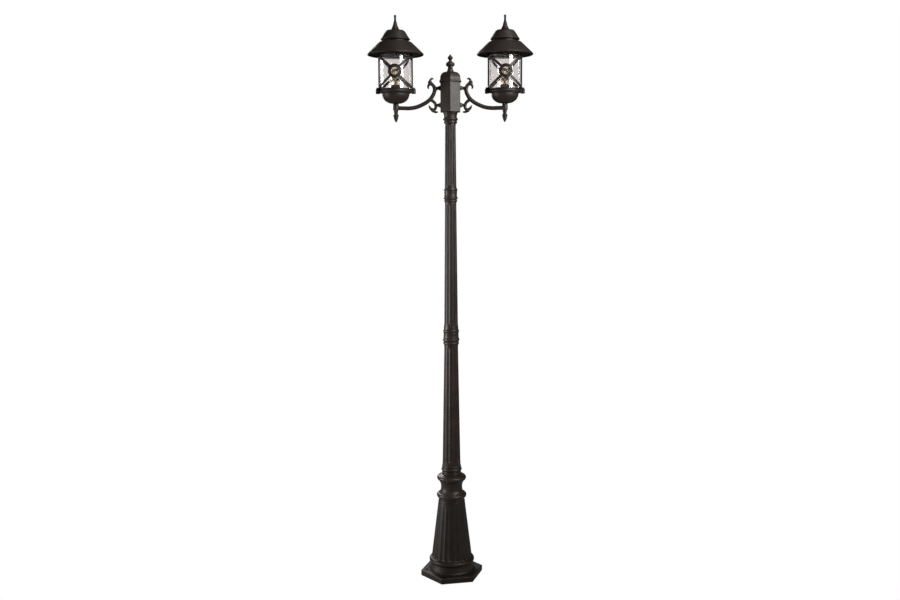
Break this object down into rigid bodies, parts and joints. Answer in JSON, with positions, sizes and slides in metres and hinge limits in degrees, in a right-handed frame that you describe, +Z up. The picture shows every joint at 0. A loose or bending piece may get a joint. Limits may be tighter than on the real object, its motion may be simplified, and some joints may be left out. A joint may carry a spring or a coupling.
{
  "type": "twin-lantern lamp post",
  "caption": "Street lamp post with a fluted sectional column on a bell base, a hexagonal head box and round glass lanterns on scrolled side arms.",
  "frame": {"origin": "centre of the floor plate's underside, on the ground at the column's axis", "axes": "+Z up along the column, X along the arms, front of the lanterns towards -Y"},
  "size_m": [0.6747, 0.2554, 2.35],
  "materials": {
    "column": "satin powder coat, dark bronze",
    "base": "satin powder coat, near black",
    "lantern": "satin powder coat, dark bronze",
    "steel": "plated steel",
    "clear_glass": "clear",
    "bulb_glass": "clear, warm tint",
    "brass": "plain",
    "filament": "plain",
    "rubber": "matt",
    "holder": "matt black",
    "block": "ivory",
    "wire": "white sheath"
  },
  "bodies": {
    "post": {"pedestal": "base", "pedestal_urn": "column", "foot_ring": "column", "lower_pole": "column", "lower_coupling": "column", "middle_pole": "column", "upper_coupling": "column", "upper_pole": "column", "neck_collar": "column", "foot_spigot": "steel", "lower_spigot": "steel", "upper_spigot": "steel", "neck_spigot": "steel", "head_box": "column", "cap_seal": "rubber", "cap_stud": "steel", "terminal_block": "block", "earth_screw": "brass", "arm_screws": "steel", "leads": "wire", "nipples": "steel", "glass_seals": "rubber", "cage_screws": "steel", "left_arm": "column", "left_bowl": "lantern", "left_gallery": "lantern", "left_glass": "clear_glass", "left_side_bars": "lantern", "left_front_guard": "lantern", "left_back_guard": "lantern", "left_bridge": "lantern", "left_roof_stud": "steel", "left_lamp_holder": "holder", "right_arm": "column", "right_bowl": "lantern", "right_gallery": "lantern", "right_glass": "clear_glass", "right_side_bars": "lantern", "right_front_guard": "lantern", "right_back_guard": "lantern", "right_bridge": "lantern", "right_roof_stud": "steel", "right_lamp_holder": "holder"},
    "left_roof": {"left_large_roof": "lantern", "left_small_roof": "lantern"},
    "left_roof_nut": {"left_top_finial": "lantern"},
    "left_bulb": {"left_bulb_cap": "brass", "left_bulb_glass": "bulb_glass", "left_bulb_core": "filament"},
    "left_bud": {"left_bud_finial": "lantern"},
    "right_roof": {"right_large_roof": "lantern", "right_small_roof": "lantern"},
    "right_roof_nut": {"right_top_finial": "lantern"},
    "right_bulb": {"right_bulb_cap": "brass", "right_bulb_glass": "bulb_glass", "right_bulb_core": "filament"},
    "right_bud": {"right_bud_finial": "lantern"},
    "lid": {"head_cap": "column"},
    "lid_nut": {"centre_finial": "column"}
  },
  "joints": [
    {"name": "left_roof_lift", "type": "slide", "parent": "post", "child": "left_roof", "axis": [0, 0, 1], "range_m": [0, 0.15]},
    {"name": "left_roof_nut_turn", "type": "hinge", "parent": "left_roof", "child": "left_roof_nut", "pos_m": [-0.2224, 0, 2.289], "axis": [0, 0, 1], "range_deg": [0, 1440]},
    {"name": "left_bulb_turn", "type": "hinge", "parent": "post", "child": "left_bulb", "pos_m": [-0.2224, 0, 2.071], "axis": [0, 0, 1], "range_deg": [0, 1080]},
    {"name": "left_bud_turn", "type": "hinge", "parent": "post", "child": "left_bud", "pos_m": [-0.2224, 0, 1.969], "axis": [0, 0, 1], "range_deg": [-1440, 0]},
    {"name": "right_roof_lift", "type": "slide", "parent": "post", "child": "right_roof", "axis": [0, 0, 1], "range_m": [0, 0.15]},
    {"name": "right_roof_nut_turn", "type": "hinge", "parent": "right_roof", "child": "right_roof_nut", "pos_m": [0.2224, 0, 2.289], "axis": [0, 0, 1], "range_deg": [0, 1440]},
    {"name": "right_bulb_turn", "type": "hinge", "parent": "post", "child": "right_bulb", "pos_m": [0.2224, 0, 2.071], "axis": [0, 0, 1], "range_deg": [0, 1080]},
    {"name": "right_bud_turn", "type": "hinge", "parent": "post", "child": "right_bud", "pos_m": [0.2224, 0, 1.969], "axis": [0, 0, 1], "range_deg": [-1440, 0]},
    {"name": "lid_lift", "type": "slide", "parent": "post", "child": "lid", "axis": [0, 0, 1], "range_m": [0, 0.1]},
    {"name": "lid_nut_turn", "type": "hinge", "parent": "lid", "child": "lid_nut", "pos_m": [0, 0, 2.123], "axis": [0, 0, 1], "range_deg": [0, 1440]}
  ]
}
